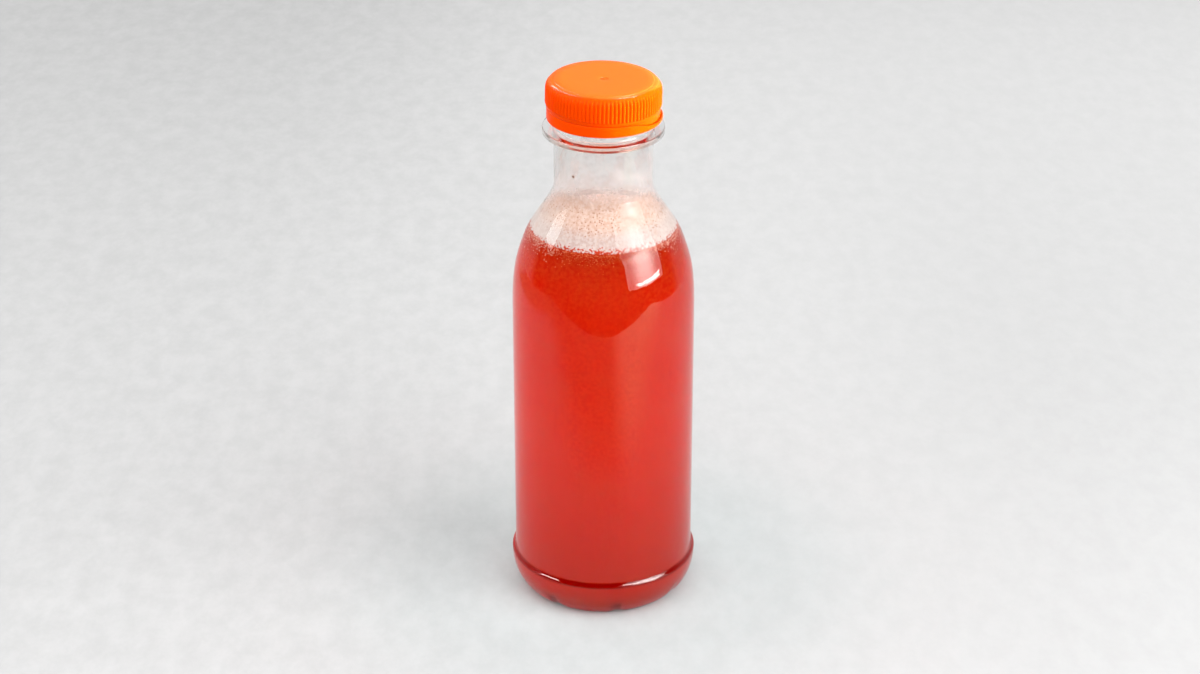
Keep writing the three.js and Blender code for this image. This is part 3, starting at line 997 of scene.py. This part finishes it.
def rim_bubbles(random):
    """Bubbles caught against the wall just below the foam, fewer as they go down and larger at the
    sides."""
    side = below(bore_line(BITE), LIQUID_LEVEL)
    side = side[side[:, 1] > PANEL_TOP]
    azimuth = random.random(RIM_BUBBLES) * 2 * math.pi
    clump = 0.75 + 0.25 * np.sin(7 * azimuth + 1) * np.sin(17 * azimuth + 2)
    depth = random.exponential(RIM_BUBBLE_DEPTH, RIM_BUBBLES) * clump
    height = LIQUID_LEVEL - 0.1 - np.clip(depth, 0, RIM_BUBBLE_DEEPEST)
    r = np.interp(height, side[:, 1], side[:, 0])
    centres = np.column_stack([r * np.sin(azimuth), -r * np.cos(azimuth), height])
    least, largest = RIM_BUBBLE_R
    aside = smoothstep(np.abs(np.sin(azimuth)), 0.4, 0.8)
    radii = random.uniform(least, largest + SIDE_BUBBLE_EXTRA * aside) * (1 - 0.04 * np.clip(depth, 0, 10))
    made = small_balls("rim_bubbles", centres, radii, 0.6)
    return made


def wall_film():
    """The foam that clings to the inside of the shoulder and the neck above its level. It rises out
    of the side of the foam."""
    bore = below(bore_line(), FILM_TOP)
    bore = bore[bore[:, 1] > FILM_BOTTOM]
    rise = smoothstep(bore[:, 1], FILM_BOTTOM, FOAM_TOP - 0.5)
    outer = bore - inwards(bore) * (BITE - 0.05 + 0.08 * rise)[:, None]
    inner = bore + inwards(bore) * FILM_THICKNESS
    made = turned("wall_film", np.vstack([outer, inner[::-1]]), TURN_STEPS, closed=True)
    made.visible_shadow = False
    return made


def speck():
    """A crumb of pulp stuck inside the neck."""
    r = bore_r(SPECK_HEIGHT) + SPECK_IN_WALL
    centre = np.array([[r * math.sin(SPECK_AZIMUTH), -r * math.cos(SPECK_AZIMUTH), SPECK_HEIGHT]])
    made = small_balls("pulp_speck", centre, [SPECK_R], 0.4, subdivisions=2)
    return made


# Stage, light and camera


def stage_board():
    """A pale board that bends up behind the bottle. Its edges show in the bottle's shoulder."""
    left, right, front = -700, 490, -285
    bend_from, bend_r, height = 720, 260, 1000
    floor_line = [(front, 0), (bend_from, 0)]
    turn = np.linspace(0, math.pi / 2, 25)[1:]
    curve = [(bend_from + bend_r * math.sin(t), bend_r * (1 - math.cos(t))) for t in turn]
    line = floor_line + curve + [(bend_from + bend_r, height)]
    points = [(x, y, z) for y, z in line for x in (left, right)]
    faces = [[2 * i, 2 * i + 1, 2 * i + 3, 2 * i + 2] for i in range(len(line) - 1)]
    made = mesh_piece("pale_board", points, faces)
    made.data.materials.append(floor_look())


def softbox(name, azimuth, elevation, distance, width, height, radiance, middle=1.0, foot=1.0, head=1.0):
    """A soft rectangular lamp, seen from the bottle's shoulder at an azimuth and elevation in
    degrees. The factors say how much its upright middle, its foot and its head differ from the rest."""
    lamp = bpy.data.lights.new(name, "AREA")
    lamp.shape = "RECTANGLE"
    lamp.size = width * MM
    lamp.size_y = height * MM
    lamp.energy = radiance * math.pi * width * height * MM * MM
    lamp.use_nodes = True
    tree = Tree(lamp.node_tree)
    place = tree.add("ShaderNodeNewGeometry").outputs["Parametric"]
    axes = tree.add("ShaderNodeSeparateXYZ", {"Vector": place}).outputs
    aside = tree.math("ABSOLUTE", tree.math("SUBTRACT", axes["X"], 0.5))
    sideways = tree.between(aside, 0.05, 0.4, middle, 1.0)
    low = tree.between(axes["Y"], 0.0, 0.4, foot, 1.0)
    high = tree.between(axes["Y"], 0.46, 0.58, 1.0, head)
    strength = tree.product(sideways, tree.product(low, high))
    shine = tree.add("ShaderNodeEmission", {"Strength": strength})
    tree.add("ShaderNodeOutputLight", {"Surface": shine.outputs[0]})
    made = bpy.data.objects.new(name, lamp)
    a, e = math.radians(azimuth), math.radians(elevation)
    out = Vector((math.sin(a) * math.cos(e), -math.cos(a) * math.cos(e), math.sin(e)))
    made.location = (Vector((0, 0, LAMPS_AIM)) + out * distance) * MM
    made.rotation_euler = out.to_track_quat("Z", "Y").to_euler()
    bpy.context.scene.collection.objects.link(made)
    return made


def shine_on(lamp, pieces, state="INCLUDE"):
    """Lets a lamp light these pieces alone, or with "EXCLUDE" everything but these."""
    lit = bpy.data.collections.new("lit_by_" + lamp.name)
    for piece in pieces:
        lit.objects.link(piece)
    for entry in lit.collection_objects:
        entry.light_linking.link_state = state
    lamp.light_linking.receiver_collection = lit


def studio_light(cap, band):
    """The fronts of the softboxes only show as reflections in the clear plastic: a large one on the
    right with a bright strip at its foot, one on the left, and two that glint on the ledge above
    the heel."""
    fronts = [
        softbox("right_front", 57, 26, 790, 820, 750, 4.8, middle=4.0, foot=0.65, head=0.42),
        softbox("right_foot", 60, 3.2, 785, 480, 34, 24),
        softbox("left_front", -93, 23, 1000, 340, 180, 4.6),
        softbox("ledge_glint_right", 100, 64, 900, 640, 420, 30),
        softbox("ledge_glint_left", -112, 53, 900, 300, 220, 34),
    ]
    for front in fronts:
        front.visible_diffuse = False
        shine_on(front, [cap, band], "EXCLUDE")


def key_light(lemonade):
    """A large lamp on the right lights the room. It stands nearer to the front and is dimmer for
    the cloudy drink, which light enters from all sides."""
    room = softbox("key", 58, 26, 800, 830, 760, 4.6)
    inside = softbox("drink_key", 50, 26, 800, 830, 760, 3.75)
    for lamp, state in ((room, "EXCLUDE"), (inside, "INCLUDE")):
        lamp.visible_glossy = False
        shine_on(lamp, [lemonade], state)


def cap_light(cap, band):
    """Lamps that fall on the cap and its band alone: one that lights them from the right, and some
    that only glint on the rounded corner, a slanting row on the left and one on the right."""
    side = softbox("cap_side", 84, 10, 600, 300, 300, 66)
    side.visible_glossy = False
    row = [(-118, 58), (-127, 46), (-137, 33)]
    glints = [softbox("cap_glint_left", *place, 700, 110, 180, 85) for place in row]
    glints.append(softbox("cap_glint_right", 129, 65, 700, 260, 190, 140))
    for glint in glints:
        glint.visible_diffuse = False
    for lamp in [side, *glints]:
        shine_on(lamp, [cap, band])


def room_glow():
    """A soft glow from all round and overhead that lights the room. It is seen past the board and
    through clear plastic as bright as the board. Reflections show it so low down at the back alone."""
    world = bpy.data.worlds.new("room")
    bpy.context.scene.world = world
    world.use_nodes = True
    tree = Tree(world.node_tree)
    towards = tree.add("ShaderNodeTexCoord").outputs["Generated"]
    axes = tree.add("ShaderNodeSeparateXYZ", {"Vector": towards}).outputs
    sideways = tree.between(axes["X"], -0.7, 0.7, GLOW_LEFT, GLOW_RIGHT)
    overhead = tree.between(axes["Z"], 0.45, 0.8, 0.0, GLOW_OVERHEAD)
    low_down = tree.between(axes["Z"], 0.45, 0.8, 1.0, 0.0)
    strength = tree.math("ADD", overhead, tree.product(sideways, low_down))
    above_floor = tree.between(axes["Z"], -0.02, 0.0)
    lighting = tree.product(strength, above_floor)
    path = tree.add("ShaderNodeLightPath").outputs
    behind = tree.product(tree.between(axes["Y"], 0.1, 0.4, 0.0, GLOW_THROUGH), low_down)
    mirrored = tree.switch(path["Is Glossy Ray"], lighting, behind)
    seen = tree.math("MAXIMUM", path["Is Transmission Ray"], path["Is Camera Ray"])
    shown = tree.switch(seen, mirrored, GLOW_THROUGH)
    glow = tree.add("ShaderNodeBackground", {"Strength": shown})
    output = tree.add("ShaderNodeOutputWorld", {"Surface": glow.outputs[0]})
    output.is_active_output = True


def camera():
    """The photograph's view: from the front, looking down."""
    lens = bpy.data.cameras.new("camera")
    lens.lens = LENS
    lens.sensor_width = SENSOR
    lens.clip_start = 0.05
    lens.clip_end = 20
    made = bpy.data.objects.new("camera", lens)
    made.location = (
        CAMERA_X * MM,
        -DISTANCE * math.cos(PITCH) * MM,
        (AIM_HEIGHT + DISTANCE * math.sin(PITCH)) * MM,
    )
    made.rotation_euler = (math.pi / 2 - PITCH, 0, 0)
    bpy.context.scene.collection.objects.link(made)
    bpy.context.scene.camera = made


camera()
stage_board()
room_glow()

random = np.random.default_rng(SEED)
cap = screw_cap()
band = loose_band()
studio_light(cap, band)
cap_light(cap, band)
cap_orange = cap_plastic()
lemonade = drink()
key_light(lemonade)
pieces = {
    bottle_shell(): clear_plastic(),
    cap: cap_orange,
    band: cap_orange,
    lemonade: lemonade_look(),
    foam_head(random): foam_look(),
    rim_bubbles(random): bubbles_look(),
    wall_film(): film_look(),
    speck(): speck_look(),
}
for piece, look in pieces.items():
    piece.data.materials.append(look)
    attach(piece, "root")

scene = bpy.context.scene
scene.view_settings.view_transform = "Standard"
scene.cycles.max_bounces = 24
scene.cycles.transmission_bounces = 16
scene.cycles.glossy_bounces = 16
scene.cycles.transparent_max_bounces = 24
scene.cycles.use_denoising = True
